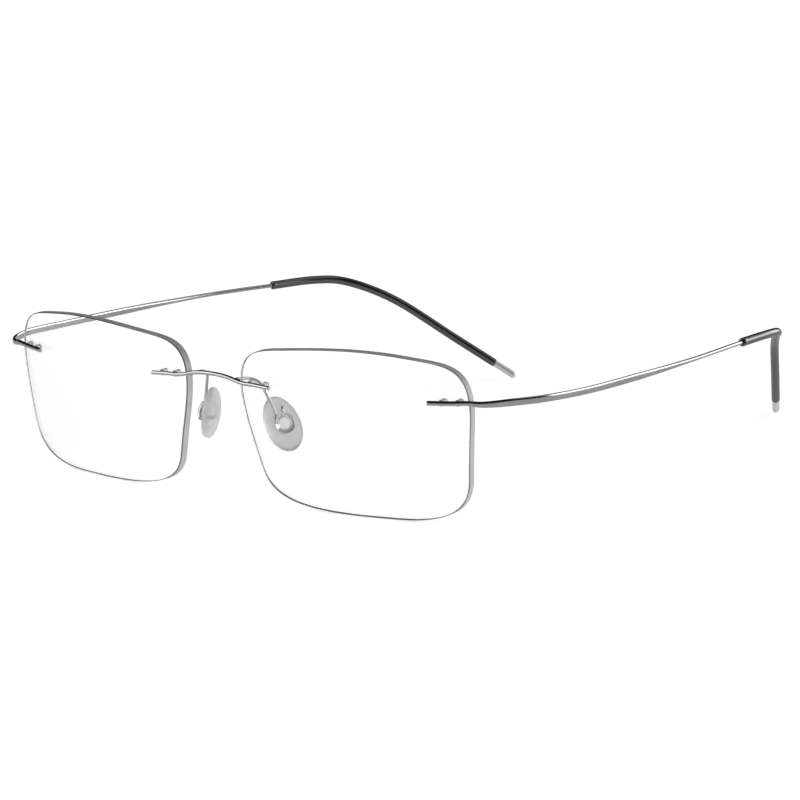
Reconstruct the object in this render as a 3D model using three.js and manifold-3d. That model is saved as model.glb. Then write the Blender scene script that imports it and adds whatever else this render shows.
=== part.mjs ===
// Rimless wire-frame eyeglasses: two curved lenses held by press-fit pins in plastic bushings, a wire
// bridge with two nose pads, and two hingeless wire temples with ear sleeves and metal tips.
//
// Units are millimetres and +Z is up. The glasses stand on the lenses' lower edges and the temple
// tips, as on a table. The wearer looks along -Y, so the wearer's left side is +X. Every piece of the
// left side is made once, and the right side is its mirror image.
import * as THREE from "three";
import { mergeVertices } from "three/addons/utils/BufferGeometryUtils.js";
import Module from "manifold-3d";

const wasm = await Module();
wasm.setup();

const DEGREE = Math.PI / 180;
const UP = new THREE.Vector3(0, 0, 1);

// --- Driving dimensions -------------------------------------------------------------------------

// Half of the object's depth is behind the row's origin; the lens centres are this far in front.
const FRONT_Y = -59.15;

// Lens: 56 mm wide, 32.5 mm high, with 14.5 mm between the two.
const LENS_CENTRE = new THREE.Vector3(35.36, -0.6, 15.8);
const LENS_RADIUS = 161; // spherical front surface
const LENS_THICKNESS = 1.6;
const LENS_WRAP = 7.2 * DEGREE; // outer edge swept back
const LENS_TILT = 3.7 * DEGREE; // lower edge tilted towards the cheek
const LENS_RINGS = [0, 0.3, 0.6, 0.8, 1]; // surface grid, as shares of the outline
const OUTLINE_DIVISIONS = 9;

// Fixings: a pin on the wire goes through a bushing in the lens.
const HOLE_RADIUS = 0.58;
const BUSHING = { body: 0.54, bore: 0.34, lip: 0.68, lipDepth: 0.08, flange: 0.7, flangeDepth: 0.25 };
const PIN_RADIUS = 0.3;
const FACE_GAP = 0.04; // between a lens face and what lies on it
const BRIDGE_FIXINGS = [[-24.8, 8.2], [-21.2, 8.1]]; // on the lens: across, up
const TEMPLE_FIXINGS = [[21.5, 7.77], [25.0, 7.83]];

// Wires: half of their thickness, and how far their centre stands off the lens.
const WIRE_RADIUS = 0.42;
const WIRE_STANDOFF = 0.58;
const WIRE_SIDES = 8;
const BLADE_HALF = { thickness: 0.33, height: 0.72 }; // the flattened stretch behind the bend
const END_HALF = { thickness: 0.37, height: 0.48 }; // the stretch across the lens

// Bridge: the left half's points after the lens, up to the middle.
const BRIDGE_RISE = [[7.2, -2.62, 24.2], [4.6, -2.68, 24.75], [0, -2.72, 25.05]];
const BRIDGE_ON_LENS = [[-19.0, 7.95], [-23.5, 8.17], [-26.1, 8.2]];

// Temple: one wire from the lens, round the bend, along the head and down behind the ear.
const TEMPLE_ON_LENS = [[18.75, 7.72], [23.0, 7.8], [27.6, 7.95]];
const TEMPLE_BEND = [[64.9, 4.9, 24.05], [66.9, 6.6, 24.08], [68.6, 9.4, 24.1]];
const TEMPLE_BOW = [
  [70.9, 15.5, 24.0], [72.0, 26, 23.85], [71.8, 38, 23.95], [70.8, 51, 24.1], [68.9, 64, 24.2],
  [66.0, 77, 24.1], [63.4, 89, 23.85],
];
const EAR_BEND = [[61.3, 94.0, 23.2], [57.4, 98.0, 21.4]];
const TIP_START = new THREE.Vector3(52.9, 102.7, 18.1);
const TIP_END = new THREE.Vector3(36.6, 121.1, 0.31);
const FLEX_AT = 18; // length of wire from its front end to the flex point
const FLEX_GAP = 0.3;
const TAPER = [45, 72]; // the blade turns into round wire between these lengths
const SLEEVE_AT = 87.4;
const SLEEVE = { radius: 0.86, bore: 0.54 };
const TIP_CAP = { length: 5.4, radius: 0.74, bore: 0.5, boreDepth: 3 };
const WIRE_IN_CAP = 2.4;

// Nose pad: an oval silicone pad with a stud and a cap, held in a loop of the pad arm.
const LOOP_CENTRE = new THREE.Vector3(11.24, 6.32, 14.89);
const PAD_AXES = { // across, along and outwards (towards the lens)
  across: new THREE.Vector3(0.322, 0.898, 0.301).normalize(),
  along: new THREE.Vector3(-0.326, -0.193, 0.925).normalize(),
};
const PAD_HALF = { width: 3.6, length: 5.65 };
const ARM_RADIUS = 0.3;
const LOOP_RADIUS = 1.7;
const PAD_GAP = 0.2; // pad and cap to the loop's wire, for rocking
const STUD_RADIUS = 1.15;
const PAD_DEPTH = 1.9;
const PAD_CAP = { radius: 2.0, depth: 0.75 };
const ARM_ROUTE = [
  [6.6, -2.17, 24.35], [6.6, 0.2, 24.25], [6.75, 2.1, 24.0], [7.4, 3.5, 23.3], [8.1, 4.1, 22.2],
  [9.0, 4.6, 20.0],
];

// --- Materials ----------------------------------------------------------------------------------

const MATERIALS = {
  lens: { color: 0xeef3f4, roughness: 0.03, metalness: 0, transparent: true, opacity: 0.35 },
  titanium: { color: 0xb9bbbd, roughness: 0.18, metalness: 1 },
  silver: { color: 0xc9cacb, roughness: 0.22, metalness: 1 },
  sleeve: { color: 0x0b0b0c, roughness: 0.28, metalness: 0 },
  silicone: { color: 0xdfe2e2, roughness: 0.3, metalness: 0, transparent: true, opacity: 0.6 },
  bushing: { color: 0xe6e8e8, roughness: 0.25, metalness: 0, transparent: true, opacity: 0.6 },
};

function piece(name, geometry, material) {
  const mesh = new THREE.Mesh(geometry, new THREE.MeshStandardMaterial(MATERIALS[material]));
  mesh.name = name;
  return mesh;
}

// --- Geometry helpers ---------------------------------------------------------------------------

function toSolid(geometry) {
  const bare = geometry.clone();
  bare.deleteAttribute("normal");
  bare.deleteAttribute("uv");
  const merged = mergeVertices(bare, 1e-4);
  return new wasm.Manifold(
    new wasm.Mesh({
      numProp: 3,
      vertProperties: merged.attributes.position.array,
      triVerts: new Uint32Array(merged.index.array),
    }),
  );
}

function toGeometry(solid) {
  const mesh = solid.getMesh();
  return new THREE.BufferGeometry()
    .setAttribute("position", new THREE.BufferAttribute(mesh.vertProperties, mesh.numProp))
    .setIndex(new THREE.BufferAttribute(mesh.triVerts, 1));
}

const vector = ([x, y, z]) => new THREE.Vector3(x, y, z);

// Part of a curve, between two shares of its length.
class Stretch extends THREE.Curve {
  constructor(curve, from, to) {
    super();
    Object.assign(this, { curve, from, to });
  }
  getPoint(t, target = new THREE.Vector3()) {
    return this.curve.getPointAt(this.from + (this.to - this.from) * t, target);
  }
}

function stretch(curve, fromLength, toLength) {
  const whole = curve.getLength();
  return new Stretch(curve, fromLength / whole, toLength / whole);
}

function smoothCurve(points) {
  const curve = new THREE.CatmullRomCurve3(points, false, "centripetal");
  curve.arcLengthDivisions = 600;
  return curve;
}

function roundSection(radius, sides, bore = 0) {
  const section = new THREE.Shape();
  section.absarc(0, 0, radius, 0, 2 * Math.PI, false);
  if (bore > 0) {
    const hole = new THREE.Path();
    hole.absarc(0, 0, bore, 0, 2 * Math.PI, true);
    section.holes.push(hole);
  }
  section.sides = sides;
  return section;
}

// A bar swept along a curve. The section's height leans towards `up`, and sizeAt(share of the
// length) gives the factors for its thickness and height.
function sweep(curve, section, steps, up = UP, sizeAt = () => [1, 1]) {
  const bar = new THREE.ExtrudeGeometry(section, {
    depth: 1,
    steps,
    bevelEnabled: false,
    curveSegments: section.sides / 2, // a full circle is drawn with twice as many
  });
  const position = bar.getAttribute("position");
  const corner = new THREE.Vector3();
  for (let i = 0; i < position.count; i++) {
    corner.fromBufferAttribute(position, i);
    const centre = curve.getPointAt(corner.z);
    const tangent = curve.getTangentAt(corner.z);
    const side = up.clone().cross(tangent).normalize();
    const height = tangent.clone().cross(side);
    const [thick, tall] = sizeAt(corner.z);
    centre.addScaledVector(side, corner.x * thick).addScaledVector(height, corner.y * tall);
    position.setXYZ(i, centre.x, centre.y, centre.z);
  }
  return bar;
}

// A turned solid; the profile runs [radius, height] from low to high.
function turned(profile, segments) {
  return new THREE.LatheGeometry(profile.map(([r, h]) => new THREE.Vector2(r, h)), segments);
}

// --- Lens ---------------------------------------------------------------------------------------

const lensTurn = new THREE.Matrix4()
  .makeTranslation(LENS_CENTRE.x, LENS_CENTRE.y, LENS_CENTRE.z)
  .multiply(new THREE.Matrix4().makeRotationX(LENS_TILT))
  .multiply(new THREE.Matrix4().makeRotationZ(LENS_WRAP));

// The lens outline, seen from the front with +x outwards: three straight stretches (bottom, outer
// and inner side) joined by round corners and a gently crowned top.
function lensOutline() {
  const outline = new THREE.Shape();
  outline.moveTo(2, -15.9);
  outline.lineTo(9.2, -15.9);
  outline.bezierCurveTo(20.2, -15.9, 24.9, -13.4, 25.9, -7.7);
  outline.lineTo(27.2, 2.7);
  outline.bezierCurveTo(28.75, 15.0, 23.1, 14.85, 14.3, 15.9);
  outline.bezierCurveTo(2.9, 17.25, -7.3, 16.45, -17.2, 15.5);
  outline.bezierCurveTo(-24.3, 14.85, -30.6, 14.0, -26.6, 0);
  outline.lineTo(-24.2, -8.2);
  outline.bezierCurveTo(-22.4, -14.3, -15.7, -15.9, 2, -15.9);
  return outline.extractPoints(OUTLINE_DIVISIONS).shape;
}

const sphereDepth = (radius, x, z) => radius - Math.sqrt(radius * radius - x * x - z * z);

function lensBlank() {
  const outline = lensOutline().filter((p, i, all) => p.distanceTo(all.at(i - 1)) > 1e-6);
  const count = outline.length;
  const corners = [];
  for (const [radius, offset] of [[LENS_RADIUS, 0], [LENS_RADIUS - LENS_THICKNESS, LENS_THICKNESS]])
    for (const share of LENS_RINGS)
      for (const p of share === 0 ? [outline[0]] : outline) {
        const [x, z] = [p.x * share, p.y * share];
        corners.push(x, offset + sphereDepth(radius, x, z), z);
      }
  const half = corners.length / 6;
  const at = (ring, i, side) => side * half + (ring === 0 ? 0 : 1 + (ring - 1) * count + (i % count));
  const faces = [];
  const last = LENS_RINGS.length - 1;
  for (let i = 0; i < count; i++) {
    for (let ring = 0; ring < last; ring++) {
      const quad = (side) => [at(ring, i, side), at(ring, i + 1, side), at(ring + 1, i + 1, side),
        at(ring + 1, i, side)];
      const [a, b, c, d] = quad(0);
      const [e, f, g, h] = quad(1);
      faces.push(a, d, c, e, g, h);
      if (ring > 0) faces.push(a, c, b, e, f, g);
    }
    const [a, b] = [at(last, i, 0), at(last, i + 1, 0)];
    const [c, d] = [at(last, i + 1, 1), at(last, i, 1)];
    faces.push(a, c, b, a, d, c);
  }
  return new THREE.BufferGeometry()
    .setAttribute("position", new THREE.Float32BufferAttribute(corners, 3))
    .setIndex(faces);
}

// The frame of a fixing on the lens: its origin on the front surface, +Y into the lens.
function fixingFrame([x, z]) {
  const foot = new THREE.Vector3(x, sphereDepth(LENS_RADIUS, x, z), z);
  const inwards = new THREE.Vector3(0, LENS_RADIUS, 0).sub(foot).normalize();
  const turn = new THREE.Quaternion().setFromUnitVectors(new THREE.Vector3(0, 1, 0), inwards);
  return new THREE.Matrix4().compose(foot, turn, new THREE.Vector3(1, 1, 1));
}

// A point in front of the lens's front surface, in the model's frame.
function overLens([x, z]) {
  return new THREE.Vector3(0, -WIRE_STANDOFF, 0).applyMatrix4(fixingFrame([x, z])).applyMatrix4(lensTurn);
}

function lens() {
  const drill = new THREE.CylinderGeometry(HOLE_RADIUS, HOLE_RADIUS, 4 * LENS_THICKNESS, 12);
  let solid = toSolid(lensBlank());
  for (const place of [...BRIDGE_FIXINGS, ...TEMPLE_FIXINGS])
    solid = solid.subtract(toSolid(drill.clone().applyMatrix4(fixingFrame(place))));
  return toGeometry(solid).applyMatrix4(lensTurn);
}

function bushing(place) {
  const { body, bore, lip, lipDepth, flange, flangeDepth } = BUSHING;
  const back = LENS_THICKNESS + FACE_GAP;
  const profile = [
    [bore, -FACE_GAP - lipDepth], [lip - 0.08, -FACE_GAP - lipDepth],
    [lip, -FACE_GAP - lipDepth + 0.08], [lip, -FACE_GAP], [body, -FACE_GAP], [body, back],
    [flange, back], [flange, back + 0.13], [flange - 0.12, back + flangeDepth],
    [bore, back + flangeDepth], [bore, -FACE_GAP - lipDepth],
  ];
  return turned(profile, 10).applyMatrix4(fixingFrame(place)).applyMatrix4(lensTurn);
}

function pin(place) {
  const start = WIRE_RADIUS - WIRE_STANDOFF + 0.04;
  const length = LENS_THICKNESS + FACE_GAP + BUSHING.flangeDepth + 0.15 - start;
  return new THREE.CylinderGeometry(PIN_RADIUS, PIN_RADIUS, length, 10)
    .translate(0, start + length / 2, 0)
    .applyMatrix4(fixingFrame(place))
    .applyMatrix4(lensTurn);
}

// --- Bridge and temples -------------------------------------------------------------------------

function bridge() {
  const left = [...BRIDGE_ON_LENS.map(overLens), ...BRIDGE_RISE.map(vector)];
  const right = left.slice(0, -1).map((p) => new THREE.Vector3(-p.x, p.y, p.z));
  const route = smoothCurve([...left, ...right.reverse()]);
  return sweep(route, roundSection(WIRE_RADIUS, WIRE_SIDES), 36);
}

const templeRoute = smoothCurve([
  ...TEMPLE_ON_LENS.map(overLens),
  ...[...TEMPLE_BEND, ...TEMPLE_BOW, ...EAR_BEND].map(vector),
  TIP_START,
  TIP_START.clone().lerp(TIP_END, 0.5),
  TIP_END,
]);
const templeLength = templeRoute.getLength();

// Half thickness and half height of the temple wire at a length from its front end.
function wireSize(length) {
  const mix = THREE.MathUtils.lerp;
  const rise = THREE.MathUtils.smoothstep(length, 6, FLEX_AT);
  const taper = THREE.MathUtils.smoothstep(length, ...TAPER);
  const thickness = mix(END_HALF.thickness, BLADE_HALF.thickness, rise);
  const height = mix(END_HALF.height, BLADE_HALF.height, rise);
  return [mix(thickness, WIRE_RADIUS, taper), mix(height, WIRE_RADIUS, taper)];
}

function templeStretch(from, to, steps) {
  const size = (share) => wireSize(from + (to - from) * share);
  return sweep(stretch(templeRoute, from, to), roundSection(1, WIRE_SIDES), steps, UP, size);
}

const sleeveEnd = templeLength - TIP_CAP.length;
const endPiece = () => templeStretch(0, FLEX_AT - FLEX_GAP / 2, 20);
const templeWire = () => templeStretch(FLEX_AT + FLEX_GAP / 2, sleeveEnd + WIRE_IN_CAP, 46);

function sleeve() {
  const section = roundSection(SLEEVE.radius, WIRE_SIDES, SLEEVE.bore);
  return sweep(stretch(templeRoute, SLEEVE_AT, sleeveEnd), section, 26);
}

function tipCap() {
  const { length, radius, bore, boreDepth } = TIP_CAP;
  const profile = [[0, boreDepth], [bore, boreDepth], [bore, 0.06], [radius - 0.06, 0.06], [radius, 0.14]];
  for (let step = 0; step <= 5; step++) {
    const angle = (step / 5) * 90 * DEGREE;
    profile.push([radius * Math.cos(angle), length - radius + radius * Math.sin(angle)]);
  }
  const mouth = templeRoute.getPointAt(sleeveEnd / templeLength);
  const along = TIP_END.clone().sub(mouth).normalize();
  const turn = new THREE.Quaternion().setFromUnitVectors(new THREE.Vector3(0, 1, 0), along);
  return turned(profile, 12).applyQuaternion(turn).translate(mouth.x, mouth.y, mouth.z);
}

// --- Nose pads ----------------------------------------------------------------------------------

const padOutwards = PAD_AXES.across.clone().cross(PAD_AXES.along).normalize();
const padFrame = new THREE.Matrix4()
  .makeBasis(PAD_AXES.across, PAD_AXES.along.clone(), padOutwards)
  .setPosition(LOOP_CENTRE);

// The pad arm comes straight back from the bridge, turns down behind the lens, and ends in an open
// loop round the pad's stud.
function padArm() {
  const loop = [[-0.72, 3.1], [-0.8, 2.2]];
  for (let angle = 145; angle <= 395; angle += 25)
    loop.push([LOOP_RADIUS * Math.cos(angle * DEGREE), LOOP_RADIUS * Math.sin(angle * DEGREE)]);
  loop.push([0.85, 1.75], [0.85, 2.5], [1.2, 3.2]);
  const points = [
    ...ARM_ROUTE.map(vector),
    ...loop.map(([x, y]) => new THREE.Vector3(x, y, 0).applyMatrix4(padFrame)),
  ];
  return sweep(smoothCurve(points), roundSection(ARM_RADIUS, 6), 44, padOutwards);
}

function nosePad() {
  const back = -(ARM_RADIUS + PAD_GAP);
  const front = back - PAD_DEPTH;
  const oval = [
    [0, front], [0.35, front + 0.1], [0.65, front + 0.42], [0.87, front + 0.95], [0.98, front + 1.4],
    [1, back - 0.25], [0.95, back], [0, back],
  ];
  const pad = turned(oval, 24).scale(PAD_HALF.width, 1, PAD_HALF.length);
  const cap = PAD_CAP.depth;
  const stud = [
    [0, back - 0.3], [STUD_RADIUS, back - 0.3], [STUD_RADIUS, -back], [PAD_CAP.radius - 0.15, -back],
    [PAD_CAP.radius, -back + cap * 0.35], [PAD_CAP.radius - 0.35, -back + cap * 0.85],
    [PAD_CAP.radius * 0.4, -back + cap], [0, -back + cap],
  ];
  const moulding = toSolid(pad).add(toSolid(turned(stud, 16)));
  return toGeometry(moulding).rotateX(90 * DEGREE).applyMatrix4(padFrame);
}

// --- Assembly -----------------------------------------------------------------------------------

function side(name) {
  const half = new THREE.Group();
  half.add(piece(name + "_lens", lens(), "lens"));
  const fixings = { bridge: BRIDGE_FIXINGS, temple: TEMPLE_FIXINGS };
  for (const [wire, places] of Object.entries(fixings))
    places.forEach((place, i) => {
      const position = ["inner", "outer"][i];
      half.add(piece(name + "_" + wire + "_bushing_" + position, bushing(place), "bushing"));
      half.add(piece(name + "_" + wire + "_pin_" + position, pin(place), "titanium"));
    });
  half.add(
    piece(name + "_end_piece", endPiece(), "titanium"),
    piece(name + "_temple_wire", templeWire(), "titanium"),
    piece(name + "_temple_sleeve", sleeve(), "sleeve"),
    piece(name + "_temple_tip", tipCap(), "silver"),
    piece(name + "_pad_arm", padArm(), "titanium"),
    piece(name + "_nose_pad", nosePad(), "silicone"),
  );
  return half;
}

const eyeglasses = new THREE.Group();
const left = side("left");
const right = side("right");
right.scale.x = -1;
const model = new THREE.Group();
model.position.y = FRONT_Y;
model.add(left, right, piece("bridge_wire", bridge(), "titanium"));
eyeglasses.add(model);

export default eyeglasses;
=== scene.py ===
import math

import bmesh
import bpy
import numpy as np
from mathutils import Matrix, Vector
from mathutils.geometry import delaunay_2d_cdt


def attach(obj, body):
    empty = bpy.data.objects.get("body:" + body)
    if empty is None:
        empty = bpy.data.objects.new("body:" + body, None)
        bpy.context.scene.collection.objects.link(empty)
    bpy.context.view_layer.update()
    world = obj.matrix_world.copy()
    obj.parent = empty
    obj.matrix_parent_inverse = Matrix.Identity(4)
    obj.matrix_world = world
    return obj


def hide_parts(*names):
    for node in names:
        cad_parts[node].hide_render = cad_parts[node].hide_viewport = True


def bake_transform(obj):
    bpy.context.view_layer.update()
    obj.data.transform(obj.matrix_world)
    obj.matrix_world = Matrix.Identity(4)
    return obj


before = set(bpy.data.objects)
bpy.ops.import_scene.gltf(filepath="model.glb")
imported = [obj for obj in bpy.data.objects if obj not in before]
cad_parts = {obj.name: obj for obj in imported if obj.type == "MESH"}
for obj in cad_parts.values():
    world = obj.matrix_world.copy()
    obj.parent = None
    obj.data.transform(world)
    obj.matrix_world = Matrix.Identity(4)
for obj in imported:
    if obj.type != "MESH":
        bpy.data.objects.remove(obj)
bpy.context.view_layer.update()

MM = 0.001
SIDES = {"left": 1.0, "right": -1.0}

# --- Sizes ----------------------------------------------------------------------------------------

FRONT_Y = -59.15

SHARP_ANGLE = 35  # degrees between two faces, above which their edge is sharp
LENS_SHARP_ANGLE = 20
PAD_SHARP_ANGLE = 50

LENS_CENTRE = np.array([35.36, -0.6, 15.8])
LENS_RADIUS = 161.0
LENS_THICKNESS = 1.6
LENS_WRAP = math.radians(7.2)
LENS_TILT = math.radians(3.7)
LENS_BEVEL = 0.18  # the polished chamfer at each rim of the ground edge
EDGE_STRIP = 0.45  # the strip of ground edge next to each bevel
LENS_GRID = 1.3
GRID_CLEARANCE = 0.45  # from a grid point to an outline at least, as a share of the grid
SAME_POINT = 1e-5

HOLE_RADIUS = 0.58
HOLE_CHAMFER = 0.05
HOLE_SIDES = 28
BRIDGE_FIXINGS = [(-24.8, 8.2), (-21.2, 8.1)]
TEMPLE_FIXINGS = [(21.5, 7.77), (25.0, 7.83)]

BUSHING = {"body": 0.55, "bore": 0.32, "face_gap": 0.02, "rounding": 0.05, "sides": 40}
BUSHING_LIP = {"radius": 0.69, "from": 0.03, "depth": 0.08}
BUSHING_FLANGE = {"radius": 0.71, "depth": 0.27, "wall": 0.15, "slope": 0.13}

PIN_RADIUS = 0.3
PIN_SIDES = 32
PIN_FROM_WIRE_CENTRE = 0.1
PIN_ROOT = [(1.25, 0), (1.08, 0.08), (1, 0.2)]  # shares of the radius, and how far along
PIN_SHAFT_AT = 0.4
PIN_PAST_BUSHING = 0.17
PIN_DOME = 0.16

WIRE_RADIUS = 0.42
WIRE_STANDOFF = 0.58  # from the lens to the wire's centre
BLADE_HALF = (0.33, 0.72)  # half of the flattened stretch: thickness, height
END_HALF = (0.37, 0.48)  # half of the stretch across the lens
BRIDGE_ON_LENS = [(-19.0, 7.95), (-23.5, 8.17), (-26.1, 8.2)]
BRIDGE_RISE = [(7.2, -2.62, 24.2), (4.6, -2.68, 24.75), (0, -2.72, 25.05)]

TEMPLE_ON_LENS = [(18.75, 7.72), (23.0, 7.8), (27.6, 7.95)]
TEMPLE_BEND = [(64.9, 4.9, 24.05), (66.9, 6.6, 24.08), (68.6, 9.4, 24.1)]
TEMPLE_BOW = [
    (70.9, 15.5, 24.0), (72.0, 26, 23.85), (71.8, 38, 23.95), (70.8, 51, 24.1), (68.9, 64, 24.2),
    (66.0, 77, 24.1), (63.4, 89, 23.85),
]
EAR_BEND = [(61.3, 94.0, 23.2), (57.4, 98.0, 21.4)]
TIP_START = np.array([52.9, 102.7, 18.1])
TIP_END = np.array([36.6, 121.1, 0.31])

# Places along the temple wire, as lengths from its front end.
BLADE_FROM = 6
FLEX_AT = 18.0
FLEX_REACH = 5.0  # a length on either side of the flex point
TAPER = (45.0, 72.0)
SLEEVE_AT = 87.4
WIRE_IN_CAP = 2.3

# A section's power: 2 is round, and more is flatter with round corners.
ROUND = 2.0
BLADE_FLATTER = 1.1

SLEEVE = {"radius": 0.86, "bore": 0.46, "sides": 40, "ring_step": 0.4, "bore_shown": 0.5}
SLEEVE_MOUTH = {"edge": 0.02, "chamfer": 0.08, "face": 0.16}
SLEEVE_LIP = {"round": 0.14, "rise": 0.17, "proud": 0.03, "length": 0.42, "fall": 0.35}
SLEEVE_BODY = {"from": 1.1, "to": 0.4}  # in from each end
SLEEVE_TAIL = {"from": 0.14, "length": 0.12, "round": 0.1, "edge": 0.02, "face": 0.2}

TIP_CAP = {"length": 5.4, "radius": 0.74, "sides": 48, "shell_from": 0.9}
# The cap's mouth, collar and groove: how far in from its radius, and how far along.
TIP_COLLAR = [(0.3, 0.03), (0.08, 0.03), (0, 0.1), (0, 0.42), (0.06, 0.48), (0.06, 0.58), (0, 0.64)]

# Pad arm: its route to the loop, and on the pad's own axes the way in, the loop and the free tail.
ARM_RADIUS = 0.3
ARM_SIDES = 28
ARM_WELD = {"extra": 0.1, "from": 0.1, "to": 0.9}
ARM_ROUTE = [
    (6.6, -2.17, 24.35), (6.6, 0.2, 24.25), (6.75, 2.1, 24.0), (7.4, 3.5, 23.3), (8.1, 4.1, 22.2),
    (9.0, 4.6, 20.0),
]
LOOP_CENTRE = np.array([11.24, 6.32, 14.89])
LOOP_RADIUS = 1.7
LOOP_WAY_IN = [(-0.72, 3.1, 0), (-0.8, 2.2, 0)]
LOOP_ANGLES = range(145, 396, 25)  # degrees
LOOP_TAIL = [(0.85, 1.75, 0), (0.85, 2.5, 0), (1.2, 3.2, 0)]

PAD_ACROSS = (0.322, 0.898, 0.301)
PAD_ALONG = (-0.326, -0.193, 0.925)
PAD_HALF = (3.6, 5.65)
PAD_SIDES = 72
PAD_GAP = 0.2
PAD_DEPTH = 1.9
PAD_NARROWER = 0.07  # at the top, as a share of the width
PAD_CROWN = 1.25  # the power of the face's curve
PAD_EDGE = 0.55  # depth of the round edge
PAD_FACE_SHARE = 0.985  # of the outline, where the face meets the round edge
PAD_EDGE_BULGE = 0.015
PAD_EDGE_DRAW = 0.03
# The dished back, as shares of the outline and depths, and then its turn from the oval to the stud.
PAD_DISH = [(0.9, 0.02), (0.86, 0.1), (0.8, 0.16), (0.68, 0.19), (0.55, 0.19)]
PAD_DISH_TURN = [(0.5, 0.18), (0.8, 0.15)]
PAD_DISH_END = 0.48
STUD_RADIUS = 1.15
STUD_SPREAD = 0.45
STUD_FOOT = [(0.3, -0.1), (0.1, 0), (0, 0.14)]  # out from the stud, and up from the pad's back
STUD_TOP = [(0, -0.06), (0.05, -0.01)]  # out from the stud, and up from the cap's underside
PAD_CAP = {"radius": 2.0, "depth": 0.75, "round": 0.25, "skirt": 0.2, "shoulder": 0.35}
PAD_CAP_TOP = {"rim": 0.15, "crown": 0.12, "shares": (0.8, 0.6, 0.4, 0.2, 0.06)}

# --- Looks of the set -----------------------------------------------------------------------------

FLOOR_GLOW = 0.52
FLOOR_SIZE = 12.0  # metres
SKY_FOR_MATT = 0.33
SKY_FOR_SHINY = 0.02

# The lens's ground edge has painted shade: light at the middle height and darker along the top and the
# bottom, mixed with its real grinding grain. In metres.
EDGE_MIDDLE = 0.0153
EDGE_SHADE_FROM = 0.0095
EDGE_SHADE_TO = 0.0152
EDGE_GRAIN = (1.7, -0.66)  # how much of the noise is added, and its offset

NOISE_RANGE = (0.3, 0.7)  # where nearly all of a noise's values lie

# Degrees and metres. Azimuth 0 is in front of the glasses, and 90 is on their left.
LAMP_AIM = (0, 0, 0.02)
LAMPS = [
    {"name": "back_softbox", "azimuth": 154, "elevation": 12.5, "distance": 1.7,
     "width": 2.65, "height": 0.72, "brightness": 3.4},
    {"name": "back_fill", "azimuth": 158, "elevation": 47, "distance": 1.8,
     "width": 2.4, "height": 1.4, "brightness": 0.5},
    {"name": "left_softbox", "azimuth": -50, "elevation": 18, "distance": 1.6,
     "width": 0.95, "height": 1.0, "brightness": 2.0},
]
CAMERA_ANGLES = (44.83, 10.78, -2.73)  # azimuth, elevation and roll
CAMERA_DISTANCE = 1.1437
CAMERA_AIM = (0.0222, -0.03245, 0.0170)
CAMERA_LENS = 264.4  # focal length on a 36 mm sensor

# --- Vectors and curves ---------------------------------------------------------------------------


def unit(v):
    v = np.asarray(v, float)
    return v / np.linalg.norm(v, axis=-1, keepdims=True)


def smoothstep(x, low, high):
    t = np.clip((x - low) / (high - low), 0, 1)
    return t * t * (3 - 2 * t)


class Route:
    """A centripetal Catmull-Rom curve through points, measured by its length."""

    SAMPLES_PER_SPAN = 60
    TANGENT_REACH = 0.05

    def __init__(self, points):
        p = [np.asarray(q, float) for q in points]
        p = [2 * p[0] - p[1], *p, 2 * p[-1] - p[-2]]
        shares = np.linspace(0, 1, self.SAMPLES_PER_SPAN, endpoint=False)
        dense = [self._span(p[i - 1 : i + 3], shares) for i in range(1, len(p) - 2)]
        dense.append(p[-2][None])
        self.dense = np.concatenate(dense)
        steps = np.linalg.norm(np.diff(self.dense, axis=0), axis=1)
        self.at = np.concatenate([[0], np.cumsum(steps)])
        self.length = self.at[-1]

    @staticmethod
    def _span(p, t):
        d = [max(np.linalg.norm(b - a) ** 0.5, 1e-4) for a, b in zip(p, p[1:])]
        m1 = ((p[1] - p[0]) / d[0] - (p[2] - p[0]) / (d[0] + d[1]) + (p[2] - p[1]) / d[1]) * d[1]
        m2 = ((p[2] - p[1]) / d[1] - (p[3] - p[1]) / (d[1] + d[2]) + (p[3] - p[2]) / d[2]) * d[1]
        t = t[:, None]
        a = 2 * p[1] - 2 * p[2] + m1 + m2
        b = -3 * p[1] + 3 * p[2] - 2 * m1 - m2
        return ((a * t + b) * t + m1) * t + p[1]

    def point(self, s):
        s = np.atleast_1d(s)
        return np.stack([np.interp(s, self.at, self.dense[:, k]) for k in range(3)], axis=1)

    def tangent(self, s):
        s = np.atleast_1d(s)
        low = np.maximum(s - self.TANGENT_REACH, 0)
        high = np.minimum(s + self.TANGENT_REACH, self.length)
        return unit(self.point(high) - self.point(low))


# --- Meshes ---------------------------------------------------------------------------------------


def to_row(points, side=1.0):
    """Points of the model, in millimetres, as metres in the row frame."""
    p = np.array(points, float) * [side, 1, 1]
    p[:, 1] += FRONT_Y
    return p * MM


def make_piece(name, points, faces, materials, side=1.0, indices=None, uv=None):
    """A mesh object from points in millimetres; a mirrored side turns its faces round."""
    if side < 0:
        faces = [f[::-1] for f in faces]
        uv = None if uv is None else [c[::-1] for c in uv]
    mesh = bpy.data.meshes.new(name)
    mesh.from_pydata(to_row(points, side).tolist(), [], [list(map(int, f)) for f in faces])
    for m in materials:
        mesh.materials.append(m)
    if indices is not None:
        mesh.polygons.foreach_set("material_index", np.array(indices, np.int32))
    if uv is not None:
        layer = mesh.uv_layers.new(name="Along")
        layer.uv.foreach_set("vector", np.concatenate([np.ravel(c) for c in uv]).astype(np.float32))
    mesh.shade_smooth()
    mesh.set_sharp_from_angle(angle=math.radians(SHARP_ANGLE))
    mesh.validate()
    piece = bpy.data.objects.new(name, mesh)
    bpy.context.scene.collection.objects.link(piece)
    return piece


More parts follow.
